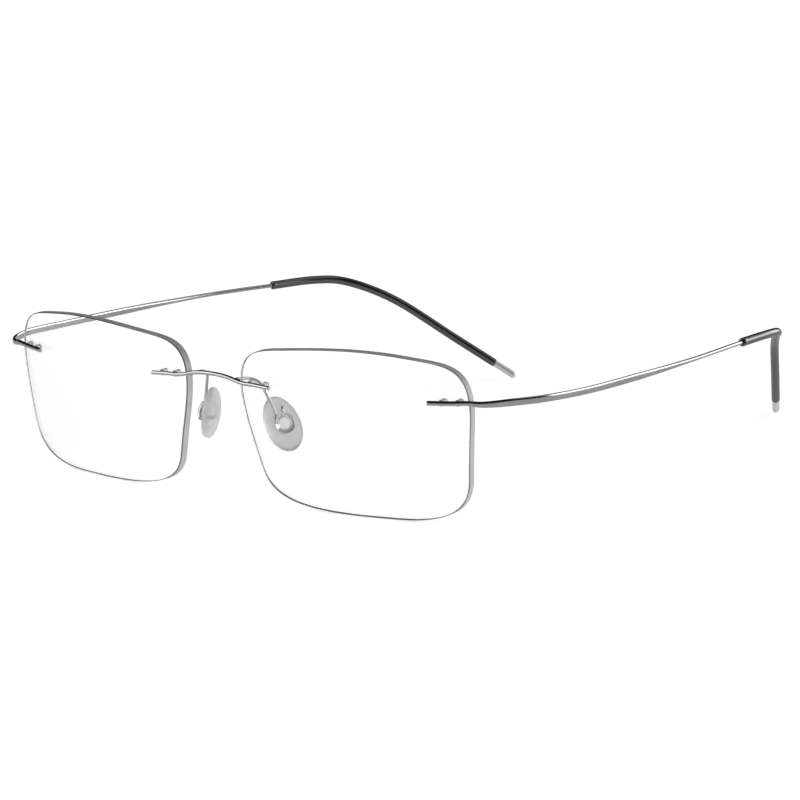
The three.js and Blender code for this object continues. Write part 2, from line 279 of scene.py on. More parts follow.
def skin(rings, along=None):
    """Points, faces and UVs of a closed skin over rings of equal count; the ends are closed."""
    rings = np.asarray(rings, float)
    n, m = rings.shape[:2]
    if along is None:
        middle = rings.mean(axis=1)
        along = np.concatenate([[0], np.cumsum(np.linalg.norm(np.diff(middle, axis=0), axis=1))])
    points = np.concatenate([rings.reshape(-1, 3), rings[0].mean(0)[None], rings[-1].mean(0)[None]])
    faces, uv = [], []
    for i in range(n - 1):
        for j in range(m):
            k = (j + 1) % m
            faces.append([i * m + j, i * m + k, (i + 1) * m + k, (i + 1) * m + j])
            uv.append([[j / m, along[i]], [(j + 1) / m, along[i]], [(j + 1) / m, along[i + 1]],
                       [j / m, along[i + 1]]])
    for j in range(m):
        k = (j + 1) % m
        faces.append([n * m, k, j])
        uv.append([[0.5, along[0]], [(j + 1) / m, along[0]], [j / m, along[0]]])
        faces.append([n * m + 1, (n - 1) * m + j, (n - 1) * m + k])
        uv.append([[0.5, along[-1]], [j / m, along[-1]], [(j + 1) / m, along[-1]]])
    return points, faces, uv


def section(half_thick, half_tall, count, power=ROUND):
    """A superellipse section."""
    a = np.arange(count) * 2 * math.pi / count
    x = np.sign(np.cos(a)) * np.abs(np.cos(a)) ** (2 / power) * half_thick
    y = np.sign(np.sin(a)) * np.abs(np.sin(a)) ** (2 / power) * half_tall
    return np.stack([x, y], axis=1)


def ring_at(route, s, flat, up=(0, 0, 1)):
    """A flat section set square across a route."""
    centre, tangent = route.point(s)[0], route.tangent(s)[0]
    across = unit(np.cross(up, tangent))
    height = np.cross(tangent, across)
    return centre + flat[:, :1] * across + flat[:, 1:] * height


def swept(route, start, end, size_at, up=(0, 0, 1), step=0.3, count=32, rim=0.12):
    """Rings of a bar along a route, with a small round rim at both ends."""
    near = np.array([0, 0.1, 0.3, 0.6, 1.0]) * rim
    n = max(4, int(round((end - start - 2 * rim) / step)))
    middle = np.linspace(start + rim, end - rim, n)[1:-1]
    at = np.concatenate([start + near, middle, (end - near)[::-1]])
    depth = np.minimum(at - start, end - at)
    inset = rim - np.sqrt(np.maximum(rim**2 - np.maximum(rim - depth, 0) ** 2, 0))
    rings = []
    for s, cut in zip(at, inset):
        thick, tall, power = size_at(s)
        rings.append(ring_at(route, s, section(thick - cut, tall - cut, count, power), up))
    return np.array(rings), at


def turned(profile, count):
    """Rings of a turned shape from (radius, height) pairs, about its own +Y."""
    a = np.arange(count) * 2 * math.pi / count
    rings = [np.stack([r * np.sin(a), np.full(count, h), r * np.cos(a)], axis=1) for r, h in profile]
    return np.array(rings)


def hoop(profile, count):
    """Points and faces of a turned ring, whose profile closes on itself."""
    rings = turned(profile, count)
    n = len(rings)
    faces = []
    for i in range(n):
        here, after = i * count, (i + 1) % n * count
        for j in range(count):
            k = (j + 1) % count
            faces.append([here + j, here + k, after + k, after + j])
    return rings.reshape(-1, 3), faces


def rounded(corners, radius, steps=4):
    """A closed profile with each corner rounded."""
    out = []
    c = [np.array(p, float) for p in corners]
    for before, here, after in zip([c[-1], *c[:-1]], c, [*c[1:], c[0]]):
        a, b = before - here, after - here
        reach = min(radius, 0.45 * np.linalg.norm(a), 0.45 * np.linalg.norm(b))
        p, q = here + unit(a) * reach, here + unit(b) * reach
        for t in np.linspace(0, 1, steps + 1):
            out.append((1 - t) ** 2 * p + 2 * t * (1 - t) * here + t**2 * q)
    return out


# --- The lens's own frame -------------------------------------------------------------------------

LENS_TURN = np.array(Matrix.Rotation(LENS_TILT, 3, "X") @ Matrix.Rotation(LENS_WRAP, 3, "Z"))


def from_lens(points):
    return np.asarray(points, float) @ LENS_TURN.T + LENS_CENTRE


def sphere_depth(radius, x, z):
    return radius - np.sqrt(radius**2 - x**2 - z**2)


def fixing_frame(place):
    """The foot of a fixing on the front surface, and its axes: two across, and inwards as +Y."""
    x, z = place
    foot = np.array([x, sphere_depth(LENS_RADIUS, x, z), z])
    inwards = unit(np.array([0, LENS_RADIUS, 0]) - foot)
    first = unit(np.cross(inwards, [0, 0, 1]))
    return foot, np.stack([first, inwards, np.cross(first, inwards)])


def at_fixing(points, place):
    foot, axes = fixing_frame(place)
    return from_lens(np.asarray(points, float) @ axes + foot)


def over_lens(place):
    return at_fixing([[0, -WIRE_STANDOFF, 0]], place)[0]


def bezier(p0, p1, p2, p3, count):
    t = np.linspace(0, 1, count, endpoint=False)[:, None]
    p0, p1, p2, p3 = (np.array(p, float) for p in (p0, p1, p2, p3))
    return (1 - t) ** 3 * p0 + 3 * (1 - t) ** 2 * t * p1 + 3 * (1 - t) * t**2 * p2 + t**3 * p3


def straight(p, q, count):
    t = np.linspace(0, 1, count, endpoint=False)[:, None]
    return np.array(p, float) * (1 - t) + np.array(q, float) * t


def lens_outline():
    """The lens's outline from the front, with +x outwards.

    The bottom and the sides are straight, the corners are round and the top is crowned.
    """
    return np.concatenate([
        straight((2, -15.9), (9.2, -15.9), 6),
        bezier((9.2, -15.9), (20.2, -15.9), (24.9, -13.4), (25.9, -7.7), 40),
        straight((25.9, -7.7), (27.2, 2.7), 8),
        bezier((27.2, 2.7), (28.75, 15.0), (23.1, 14.85), (14.3, 15.9), 48),
        bezier((14.3, 15.9), (2.9, 17.25), (-7.3, 16.45), (-17.2, 15.5), 28),
        bezier((-17.2, 15.5), (-24.3, 14.85), (-30.6, 14.0), (-26.6, 0), 52),
        straight((-26.6, 0), (-24.2, -8.2), 8),
        bezier((-24.2, -8.2), (-22.4, -14.3), (-15.7, -15.9), (2, -15.9), 48),
    ])


def inset(outline, distance):
    ahead = np.roll(outline, -1, axis=0) - np.roll(outline, 1, axis=0)
    normal = unit(np.stack([-ahead[:, 1], ahead[:, 0]], axis=1))
    return outline + normal * distance


def circle(centre, radius, count):
    a = np.arange(count) * 2 * math.pi / count
    return np.array(centre) + radius * np.stack([np.cos(a), np.sin(a)], axis=1)


def lens_face(border, holes):
    """Triangles over the lens seen from the front, with its border, its holes and an even grid inside."""
    loops = [border, *holes]
    points = [p for loop in loops for p in loop]
    edges = []
    start = 0
    for loop in loops:
        edges += [(start + i, start + (i + 1) % len(loop)) for i in range(len(loop))]
        start += len(loop)
    low, high = border.min(0), border.max(0)
    for x in np.arange(low[0], high[0], LENS_GRID):
        for z in np.arange(low[1], high[1], LENS_GRID):
            near = min(np.min(np.linalg.norm(loop - [x, z], axis=1)) for loop in loops)
            if near > GRID_CLEARANCE * LENS_GRID:
                points.append(np.array([x, z]))
    made = delaunay_2d_cdt([Vector(p) for p in points], edges, [], 1, SAME_POINT)
    flat = np.array([list(v) for v in made[0]])
    mouth = (HOLE_RADIUS + HOLE_CHAMFER) * math.cos(math.pi / len(holes[0]))
    faces = []
    for f in made[2]:
        middle = flat[list(f)].mean(0)
        if all(np.linalg.norm(middle - hole.mean(0)) > mouth for hole in holes):
            faces.append(list(f))
    source = {old[0]: i for i, old in enumerate(made[3]) if old}
    return flat, faces, source


def lens_points(flat, depth):
    """Points on a surface at a depth behind the front one, both about the same centre."""
    r = LENS_RADIUS - depth
    return np.stack([flat[:, 0], depth + sphere_depth(r, flat[:, 0], flat[:, 1]), flat[:, 1]], axis=1)


def build_lens(name, side, clear, ground, polished):
    outline = lens_outline()
    fixings = [*BRIDGE_FIXINGS, *TEMPLE_FIXINGS]
    border = inset(outline, LENS_BEVEL)
    mouths = [circle(place, HOLE_RADIUS + HOLE_CHAMFER, HOLE_SIDES) for place in fixings]
    flat, faces, source = lens_face(border, mouths)
    front, back = lens_points(flat, 0), lens_points(flat, LENS_THICKNESS)
    points = [*front, *back]
    n = len(flat)
    polygons = [f if winding(flat, f) > 0 else f[::-1] for f in faces]
    polygons = [*polygons, *[[i + n for i in f[::-1]] for f in polygons]]
    indices = [0] * len(polygons)
    uv = [[[flat[i % n, 0], flat[i % n, 1]] for i in f] for f in polygons]

    def band(first, shape, shape_depths, last, slots):
        """Joins a front loop to a back loop through further loops, one quad strip each."""
        count = len(first)
        steps = np.linalg.norm(np.roll(shape, -1, axis=0) - shape, axis=1)
        run = np.concatenate([[0], np.cumsum(steps)])
        loops, depths = [first], [0.0]
        for depth in shape_depths:
            loops.append(list(range(len(points), len(points) + count)))
            depths.append(depth)
            points.extend(lens_points(shape, depth))
        loops.append(last)
        depths.append(LENS_THICKNESS)
        for (a, b), (da, db), slot in zip(zip(loops, loops[1:]), zip(depths, depths[1:]), slots):
            for i in range(count):
                k = (i + 1) % count
                polygons.append([a[i], b[i], b[k], a[k]])
                uv.append([[run[i], da], [run[i], db], [run[i + 1], db], [run[i + 1], da]])
                indices.append(slot)

    def vertices_of(start, count):
        return [source[start + i] for i in range(count)]

    rim = vertices_of(0, len(outline))
    cut = LENS_BEVEL
    middle = [cut, cut + EDGE_STRIP, LENS_THICKNESS - cut - EDGE_STRIP, LENS_THICKNESS - cut]
    band(rim, outline, middle, [i + n for i in rim], [2, 1, 1, 1, 2])
    start = len(outline)
    for place, mouth in zip(fixings, mouths):
        loop = vertices_of(start, len(mouth))
        wall = circle(place, HOLE_RADIUS, len(mouth))
        depths = [HOLE_CHAMFER, LENS_THICKNESS - HOLE_CHAMFER]
        band(loop, wall, depths, [i + n for i in loop], [2, 1, 2])
        start += len(mouth)
    fixed = from_lens(np.array(points))
    piece = make_piece(name, fixed, polygons, [clear, ground, polished], side, indices, uv)
    orient(piece, LENS_SHARP_ANGLE)
    return piece


def winding(flat, face):
    a, b, c = (flat[i] for i in face[:3])
    return (b[0] - a[0]) * (c[1] - a[1]) - (b[1] - a[1]) * (c[0] - a[0])


def orient(piece, sharp=SHARP_ANGLE):
    """Turns all faces of a closed mesh outwards, and marks its sharp edges again."""
    bm = bmesh.new()
    bm.from_mesh(piece.data)
    bmesh.ops.recalc_face_normals(bm, faces=bm.faces)
    bm.to_mesh(piece.data)
    bm.free()
    piece.data.set_sharp_from_angle(angle=math.radians(sharp))
    piece.data.update()


# --- Materials ------------------------------------------------------------------------------------


class Nodes:
    """A material's node tree, with short calls to add and join nodes."""

    def __init__(self, name):
        self.material = bpy.data.materials.new(name)
        self.material.use_nodes = True
        self.tree = self.material.node_tree
        self.tree.nodes.clear()
        self.output = self.add("ShaderNodeOutputMaterial")
        self.shader = self.add("ShaderNodeBsdfPrincipled")
        self.join(self.shader, "BSDF", self.output, "Surface")

    def add(self, kind, **values):
        node = self.tree.nodes.new(kind)
        for key, value in values.items():
            if hasattr(node, key):
                setattr(node, key, value)
            else:
                node.inputs[key].default_value = value
        return node

    def join(self, a, out, b, into):
        self.tree.links.new(a.outputs[out], b.inputs[into])

    def set(self, **values):
        for key, value in values.items():
            self.shader.inputs[key.replace("_", " ")].default_value = value

    def coordinates(self, output, scale):
        source = self.add("ShaderNodeTexCoord")
        mapping = self.add("ShaderNodeMapping")
        mapping.inputs["Scale"].default_value = scale
        self.join(source, output, mapping, "Vector")
        return mapping

    def on_object(self):
        return self.coordinates("Object", (1, 1, 1))

    def noise(self, mapping, scale, detail, rough=0.55):
        node = self.add("ShaderNodeTexNoise")
        node.inputs["Scale"].default_value = scale
        node.inputs["Detail"].default_value = detail
        node.inputs["Roughness"].default_value = rough
        self.join(mapping, "Vector", node, "Vector")
        return node

    def roughness(self, noise, low, high):
        """Spreads the shader's roughness between two values by a noise."""
        ranged = self.add("ShaderNodeMapRange")
        ranged.inputs["From Min"].default_value = NOISE_RANGE[0]
        ranged.inputs["From Max"].default_value = NOISE_RANGE[1]
        ranged.inputs["To Min"].default_value = low
        ranged.inputs["To Max"].default_value = high
        self.join(noise, "Fac", ranged, "Value")
        self.join(ranged, "Result", self.shader, "Roughness")

    def tint(self, node, low, high, output="Fac", at=NOISE_RANGE):
        """Colours the shader between two colours by a value."""
        ramp = self.add("ShaderNodeValToRGB")
        ramp.color_ramp.elements[0].position, ramp.color_ramp.elements[1].position = at
        ramp.color_ramp.elements[0].color = (*low, 1)
        ramp.color_ramp.elements[1].color = (*high, 1)
        self.join(node, output, ramp, "Fac")
        self.join(ramp, "Color", self.shader, "Base Color")

    def by_height(self, grain, middle, start, end, grain_gain, grain_offset):
        """A value that rises between two distances above or below a middle height, plus some grain."""
        source = self.add("ShaderNodeTexCoord")
        split = self.add("ShaderNodeSeparateXYZ")
        self.join(source, "Object", split, "Vector")
        offset = self.add("ShaderNodeMath", operation="SUBTRACT")
        offset.inputs[1].default_value = middle
        self.tree.links.new(split.outputs["Z"], offset.inputs[0])
        away = self.add("ShaderNodeMath", operation="ABSOLUTE")
        self.tree.links.new(offset.outputs[0], away.inputs[0])
        ranged = self.add("ShaderNodeMapRange")
        ranged.inputs["From Min"].default_value = start
        ranged.inputs["From Max"].default_value = end
        self.tree.links.new(away.outputs[0], ranged.inputs["Value"])
        blend = self.add("ShaderNodeMath", operation="MULTIPLY_ADD")
        blend.inputs[1].default_value = grain_gain
        blend.inputs[2].default_value = grain_offset
        self.tree.links.new(grain.outputs["Fac"], blend.inputs[0])
        total = self.add("ShaderNodeMath", operation="ADD")
        self.tree.links.new(blend.outputs[0], total.inputs[0])
        self.tree.links.new(ranged.outputs["Result"], total.inputs[1])
        return total

    def bump(self, noise, strength, distance):
        relief = self.add("ShaderNodeBump")
        relief.inputs["Strength"].default_value = strength
        relief.inputs["Distance"].default_value = distance
        self.join(noise, "Fac", relief, "Height")
        self.join(relief, "Normal", self.shader, "Normal")

    def lets_lamps_through(self, colour):
        """Lamps shine through, so that clear pieces throw only a light shadow."""
        path = self.add("ShaderNodeLightPath")
        clear = self.add("ShaderNodeBsdfTransparent")
        clear.inputs["Color"].default_value = (*colour, 1)
        mix = self.add("ShaderNodeMixShader")
        self.join(path, "Is Shadow Ray", mix, "Fac")
        self.tree.links.new(self.shader.outputs["BSDF"], mix.inputs[1])
        self.tree.links.new(clear.outputs["BSDF"], mix.inputs[2])
        self.join(mix, "Shader", self.output, "Surface")


def clear_lens():
    m = Nodes("lens_clear")
    m.set(Transmission_Weight=1.0, IOR=1.5, Specular_IOR_Level=0.5)
    fine = m.noise(m.on_object(), scale=60.0, detail=2.0)
    m.roughness(fine, 0.0, 0.012)
    m.tint(fine, (0.995, 0.997, 0.997), (1.0, 1.0, 1.0))
    m.lets_lamps_through((0.97, 0.97, 0.97))
    return m.material


def ground_edge():
    m = Nodes("lens_ground_edge")
    m.set(Transmission_Weight=0.25, IOR=1.5)
    lines = m.noise(m.coordinates("UV", (0.12, 2.2, 1)), scale=1.6, detail=4.0, rough=0.6)
    m.roughness(lines, 0.3, 0.55)
    # Painted shade: the edge darkens towards its top and its bottom by height, added to the real grinding
    # lines.
    painted_shade_and_grain = m.by_height(lines, EDGE_MIDDLE, EDGE_SHADE_FROM, EDGE_SHADE_TO, *EDGE_GRAIN)
    m.tint(painted_shade_and_grain, (0.66, 0.665, 0.67), (0.36, 0.363, 0.367), output="Value", at=(0.0, 1.0))
    m.bump(lines, strength=0.35, distance=0.00005)
    return m.material


def polished_bevel():
    m = Nodes("lens_polished_bevel")
    m.set(Transmission_Weight=0.25, IOR=1.5)
    patches = m.noise(m.on_object(), scale=160.0, detail=3.0)
    m.roughness(patches, 0.08, 0.2)
    # The dark grey is painted shade, standing for the dark lines that refraction draws along the lens's
    # rims; the patches vary it at random.
    m.tint(patches, (0.12, 0.122, 0.126), (0.3, 0.305, 0.31))
    return m.material


def polished_titanium():
    m = Nodes("polished_titanium")
    m.set(Metallic=1.0)
    drawn = m.noise(m.coordinates("UV", (26.0, 0.35, 1)), scale=1.0, detail=4.0, rough=0.6)
    clouds = m.noise(m.on_object(), scale=140.0, detail=3.0)
    m.roughness(drawn, 0.06, 0.13)
    m.tint(clouds, (0.45, 0.455, 0.462), (0.54, 0.545, 0.552))
    m.bump(drawn, strength=0.06, distance=0.00001)
    return m.material


def satin_silver():
    m = Nodes("satin_silver")
    m.set(Metallic=0.65)
    brushed = m.noise(m.coordinates("UV", (4.0, 9.0, 1)), scale=3.0, detail=5.0, rough=0.65)
    m.roughness(brushed, 0.24, 0.38)
    m.tint(brushed, (0.66, 0.665, 0.67), (0.8, 0.805, 0.81))
    m.bump(brushed, strength=0.2, distance=0.00001)
    return m.material


def black_sleeve():
    m = Nodes("black_silicone")
    m.set(IOR=1.68, Specular_IOR_Level=1.0)
    fine = m.noise(m.on_object(), scale=900.0, detail=3.0)
    slow = m.noise(m.coordinates("UV", (2.0, 0.12, 1)), scale=1.0, detail=2.0)
    m.roughness(slow, 0.17, 0.26)
    m.tint(slow, (0.007, 0.007, 0.0075), (0.013, 0.013, 0.0135))
    m.bump(fine, strength=0.05, distance=0.00002)
    return m.material


def clear_silicone():
    m = Nodes("clear_silicone")
    m.set(Transmission_Weight=0.7, IOR=1.41)
    milky = m.noise(m.on_object(), scale=260.0, detail=3.0)
    fine = m.noise(m.on_object(), scale=1600.0, detail=2.0)
    m.roughness(milky, 0.28, 0.4)
    m.tint(milky, (0.6, 0.605, 0.61), (0.72, 0.725, 0.73))
    m.bump(fine, strength=0.06, distance=0.00003)
    m.lets_lamps_through((0.7, 0.7, 0.7))
    return m.material


def clear_plastic(name, clearness, roughness):
    m = Nodes(name)
    m.set(Transmission_Weight=clearness, IOR=1.45)
    flow = m.noise(m.on_object(), scale=700.0, detail=3.0)
    m.roughness(flow, roughness, roughness + 0.08)
    m.tint(flow, (0.82, 0.825, 0.83), (0.95, 0.95, 0.95))
    m.lets_lamps_through((0.85, 0.85, 0.85))
    return m.material


def pale_floor():
    """White paper with a glow that bleaches it. Surfaces that mirror the floor see it without the glow."""
    m = Nodes("pale_floor")
    m.set(Specular_IOR_Level=0.1, Emission_Color=(1, 1, 1, 1))
    grain = m.noise(m.on_object(), scale=3.0, detail=2.0)
    m.roughness(grain, 0.75, 0.85)
    m.tint(grain, (0.9, 0.9, 0.9), (0.915, 0.915, 0.915))
    path = m.add("ShaderNodeLightPath")
    mirrored = m.add("ShaderNodeMath", operation="MULTIPLY")
    m.tree.links.new(path.outputs["Is Reflection Ray"], mirrored.inputs[0])
    m.tree.links.new(path.outputs["Is Glossy Ray"], mirrored.inputs[1])
    glow = m.add("ShaderNodeMapRange")
    glow.inputs["To Min"].default_value = FLOOR_GLOW
    glow.inputs["To Max"].default_value = 0.0
    m.join(mirrored, "Value", glow, "Value")
    m.join(glow, "Result", m.shader, "Emission Strength")
    return m.material


# --- Pieces ---------------------------------------------------------------------------------------

MATERIAL = {
    "clear": clear_lens(),
    "ground": ground_edge(),
    "bevel": polished_bevel(),
    "titanium": polished_titanium(),
    "silver": satin_silver(),
    "sleeve": black_sleeve(),
    "silicone": clear_silicone(),
    "bushing": clear_plastic("milky_moulded_plastic", clearness=0.5, roughness=0.12),
    "cap": clear_plastic("clear_moulded_plastic", clearness=0.97, roughness=0.02),
}


def finish_piece(piece, body, slot, *nodes):
    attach(piece, body)
    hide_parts(*nodes)


def build_bridge():
    left = [over_lens(p) for p in BRIDGE_ON_LENS] + [np.array(p, float) for p in BRIDGE_RISE]
    right = [p * [-1, 1, 1] for p in left[:-1]]
    route = Route([*left, *right[::-1]])
    rings, at = swept(route, 0, route.length, lambda s: (WIRE_RADIUS, WIRE_RADIUS, ROUND))
    points, faces, uv = skin(rings, at)
    piece = make_piece("bridge", points, faces, [MATERIAL["titanium"]], uv=uv)
    finish_piece(piece, "front", "titanium", "bridge_wire")


TEMPLE_ROUTE = Route([
    *[over_lens(p) for p in TEMPLE_ON_LENS], *TEMPLE_BEND, *TEMPLE_BOW, *EAR_BEND,
    TIP_START, (TIP_START + TIP_END) / 2, TIP_END,
])
SLEEVE_END = TEMPLE_ROUTE.length - TIP_CAP["length"]


def wire_size(s):
    """Half the thickness, half the height and the section's power at a length along the temple wire."""
    rise = smoothstep(s, BLADE_FROM, FLEX_AT)
    taper = smoothstep(s, *TAPER)
    thick, tall = (a + (b - a) * rise for a, b in zip(END_HALF, BLADE_HALF))
    power = ROUND + BLADE_FLATTER * rise * (1 - taper)
    return thick + (WIRE_RADIUS - thick) * taper, tall + (WIRE_RADIUS - tall) * taper, power


def build_temple_wire(side_name, side):
    rings, at = swept(TEMPLE_ROUTE, 0, SLEEVE_END + WIRE_IN_CAP, wire_size)
    points, faces, uv = skin(rings, at)
    piece = make_piece("wire_" + side_name, points, faces, [MATERIAL["titanium"]], side, uv=uv)
    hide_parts(side_name + "_end_piece", side_name + "_temple_wire")
    start, end = (to_row(TEMPLE_ROUTE.point(FLEX_AT + d), side)[0] for d in (-FLEX_REACH, FLEX_REACH))
    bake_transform(piece)


def sleeve_profile():
    """Places along the wire and the sleeve's radius there, from the bore at one mouth to the other's."""
    outer, bore = SLEEVE["radius"], SLEEVE["bore"]
    mouth, lip, tail = SLEEVE_MOUTH, SLEEVE_LIP, SLEEVE_TAIL
    at = [SLEEVE_AT + SLEEVE["bore_shown"], SLEEVE_AT + mouth["edge"], SLEEVE_AT, SLEEVE_AT]
    radius = [bore, bore, bore + mouth["chamfer"], outer - mouth["face"]]
    for t in np.linspace(0, math.pi / 2, 6):
        at.append(SLEEVE_AT + lip["round"] * (1 - math.cos(t)))
        radius.append(outer - lip["round"] + lip["rise"] * math.sin(t))
    for t in np.linspace(0, 1, 6)[1:]:
        at.append(SLEEVE_AT + lip["length"] + lip["fall"] * t)
        radius.append(outer + lip["proud"] * (1 - smoothstep(t, 0, 1)))
    body = np.arange(SLEEVE_AT + SLEEVE_BODY["from"], SLEEVE_END - SLEEVE_BODY["to"], SLEEVE["ring_step"])
    at += list(body)
    radius += [outer] * len(body)
    for t in np.linspace(0, math.pi / 2, 5):
        at.append(SLEEVE_END - tail["from"] + tail["length"] * math.sin(t))
        radius.append(outer - tail["round"] * (1 - math.cos(t)))
    at += [SLEEVE_END - tail["edge"], SLEEVE_END - tail["edge"], SLEEVE_END - SLEEVE["bore_shown"]]
    radius += [outer - tail["face"], bore, bore]
    return at, radius


def build_sleeve(side_name, side):
    """A moulded tube over the wire, with a round lip at its mouth."""
    at, radius = sleeve_profile()
    rings = [ring_at(TEMPLE_ROUTE, s, section(r, r, SLEEVE["sides"])) for s, r in zip(at, radius)]
    points, faces, uv = skin(rings, np.array(at))
    piece = make_piece("sleeve_" + side_name, points, faces, [MATERIAL["sleeve"]], side, uv=uv)
    finish_piece(piece, side_name + "_temple", "sleeve", side_name + "_temple_sleeve")


def build_tip(side_name, side):
    """A satin cap on the wire's end: a thin collar, a groove, and a long shell with a round end."""
    length, radius = TIP_CAP["length"], TIP_CAP["radius"]
    profile = [(radius - in_by, h) for in_by, h in TIP_COLLAR]
    profile += [(radius, h) for h in np.linspace(TIP_CAP["shell_from"], length - radius, 10)]
    for t in np.linspace(0, math.pi / 2, 14)[1:-1]:
        profile.append((radius * math.cos(t), length - radius + radius * math.sin(t)))
    rings = turned(profile, TIP_CAP["sides"])
    mouth = TEMPLE_ROUTE.point(SLEEVE_END)[0]
    along = unit(TIP_END - mouth)
    first = unit(np.cross(along, (0, 0, 1)))
    axes = np.stack([first, along, np.cross(first, along)])
    rings = rings @ axes + mouth
    points, faces, uv = skin(rings, np.array([h for _, h in profile]))
    piece = make_piece("tip_" + side_name, points, faces, [MATERIAL["silver"]], side, uv=uv)
    orient(piece)
    finish_piece(piece, side_name + "_temple", "silver", side_name + "_temple_tip")


def build_bushing(side_name, side, wire, place, position):
    body, bore = BUSHING["body"], BUSHING["bore"]
    lip, flange = BUSHING_LIP, BUSHING_FLANGE
    lip_front = -lip["from"] - lip["depth"]
    front = -BUSHING["face_gap"]
    back = LENS_THICKNESS + BUSHING["face_gap"]
    end = back + flange["depth"]
    corners = [
        (bore, lip_front), (lip["radius"], lip_front), (lip["radius"], front), (body, front),
        (body, back), (flange["radius"], back), (flange["radius"], back + flange["wall"]),
        (flange["radius"] - flange["slope"], end), (bore, end),
    ]
    points, faces = hoop(rounded(corners, BUSHING["rounding"]), BUSHING["sides"])
    name = "_".join(("bushing", wire, position, side_name))
    piece = make_piece(name, at_fixing(points, place), faces, [MATERIAL["bushing"]], side)
    orient(piece)
    finish_piece(piece, "front", "bushing", "_".join((side_name, wire, "bushing", position)))


def build_pin(side_name, side, wire, place, position):
    """A round pin through the bushing. Its thicker root is inside the wire, and it ends in a dome."""
    start = -WIRE_STANDOFF + PIN_FROM_WIRE_CENTRE
    end = LENS_THICKNESS + BUSHING_FLANGE["depth"] + PIN_PAST_BUSHING
    r = PIN_RADIUS
    profile = [(r * share, start + along) for share, along in PIN_ROOT]
    profile += [(r, PIN_SHAFT_AT), (r, end - PIN_DOME)]
    for t in np.linspace(0, math.pi / 2, 6)[1:]:
        profile.append((r - PIN_DOME + PIN_DOME * math.cos(t), end - PIN_DOME + PIN_DOME * math.sin(t)))
    rings = turned(profile, PIN_SIDES)
    points, faces, uv = skin(rings, np.array([h for _, h in profile]))
    name = "_".join(("pin", wire, position, side_name))
    piece = make_piece(name, at_fixing(points, place), faces, [MATERIAL["titanium"]], side, uv=uv)
    orient(piece)
    finish_piece(piece, "front", "titanium", "_".join((side_name, wire, "pin", position)))


PAD_FRAME = np.stack([unit(PAD_ACROSS), unit(PAD_ALONG), unit(np.cross(PAD_ACROSS, PAD_ALONG))])


def arm_size(s):
    """Half the thickness, half the height and the section's power, thicker at the weld to the bridge."""
    radius = ARM_RADIUS + ARM_WELD["extra"] * (1 - smoothstep(s, ARM_WELD["from"], ARM_WELD["to"]))
    return radius, radius, ROUND


def build_pad_arm(side_name, side):
    """A thin wire from the bridge that ends in an open loop with a free tail."""
    turns = [math.radians(a) for a in LOOP_ANGLES]
    loop = [(LOOP_RADIUS * math.cos(a), LOOP_RADIUS * math.sin(a), 0) for a in turns]
    on_pad = np.array([*LOOP_WAY_IN, *loop, *LOOP_TAIL]) @ PAD_FRAME + LOOP_CENTRE
    route = Route([*ARM_ROUTE, *on_pad])
    rings, at = swept(route, 0, route.length, arm_size, up=PAD_FRAME[2], step=0.16, count=ARM_SIDES, rim=0.1)
    points, faces, uv = skin(rings, at)
    piece = make_piece("arm_" + side_name, points, faces, [MATERIAL["titanium"]], side, uv=uv)
    finish_piece(piece, "front", "titanium", side_name + "_pad_arm")


def flat_ring(shape, height):
    return np.column_stack([shape, np.full(len(shape), height)])


def pad_rings(oval, disc, front, back):
    """The pad itself: its crowned face, its round edge, and its dished back as far as the stud."""
    rings = []
    for t in np.linspace(0.04, 1, 14):
        share = math.sin(t * math.pi / 2)
        height = front + (PAD_DEPTH - PAD_EDGE) * (1 - math.cos(t * math.pi / 2)) ** PAD_CROWN
        rings.append(flat_ring(oval * share * PAD_FACE_SHARE, height))
    for t in np.linspace(0, math.pi, 9)[1:]:
        bulged = oval * (PAD_FACE_SHARE + PAD_EDGE_BULGE * math.sin(t))
        drawn_in = oval * PAD_EDGE_DRAW * (1 - math.cos(t)) / 2
        rings.append(flat_ring(bulged - drawn_in, back - PAD_EDGE + PAD_EDGE * (1 - math.cos(t)) / 2))
    for share, dip in PAD_DISH:
        rings.append(flat_ring(oval * share, back - dip))
    for mix, dip in PAD_DISH_TURN:
        shape = oval * PAD_DISH_END * (1 - mix) + disc * (STUD_RADIUS + STUD_SPREAD) * mix
        rings.append(flat_ring(shape, back - dip))
    return rings


def stud_profile(back):
    """Radius and height pairs up the stud, round the cap that holds it in the loop, and over its top."""
    stud = [(STUD_RADIUS + out, back + up) for out, up in STUD_FOOT]
    stud += [(STUD_RADIUS + out, -back + up) for out, up in STUD_TOP]
    cap, top = PAD_CAP, PAD_CAP_TOP
    flat = cap["radius"] - cap["round"]
    for t in np.linspace(-0.5, 1, 9):
        angle = t * math.pi / 2
        tall = cap["skirt"] if t < 0 else cap["depth"] - cap["shoulder"]
        stud.append((flat + cap["round"] * math.cos(angle), -back + cap["skirt"] + tall * math.sin(angle)))
    for share in top["shares"]:
        height = -back + cap["depth"] - top["rim"] + top["crown"] * (1 - share**2)
        stud.append((flat * share, height))
    return stud


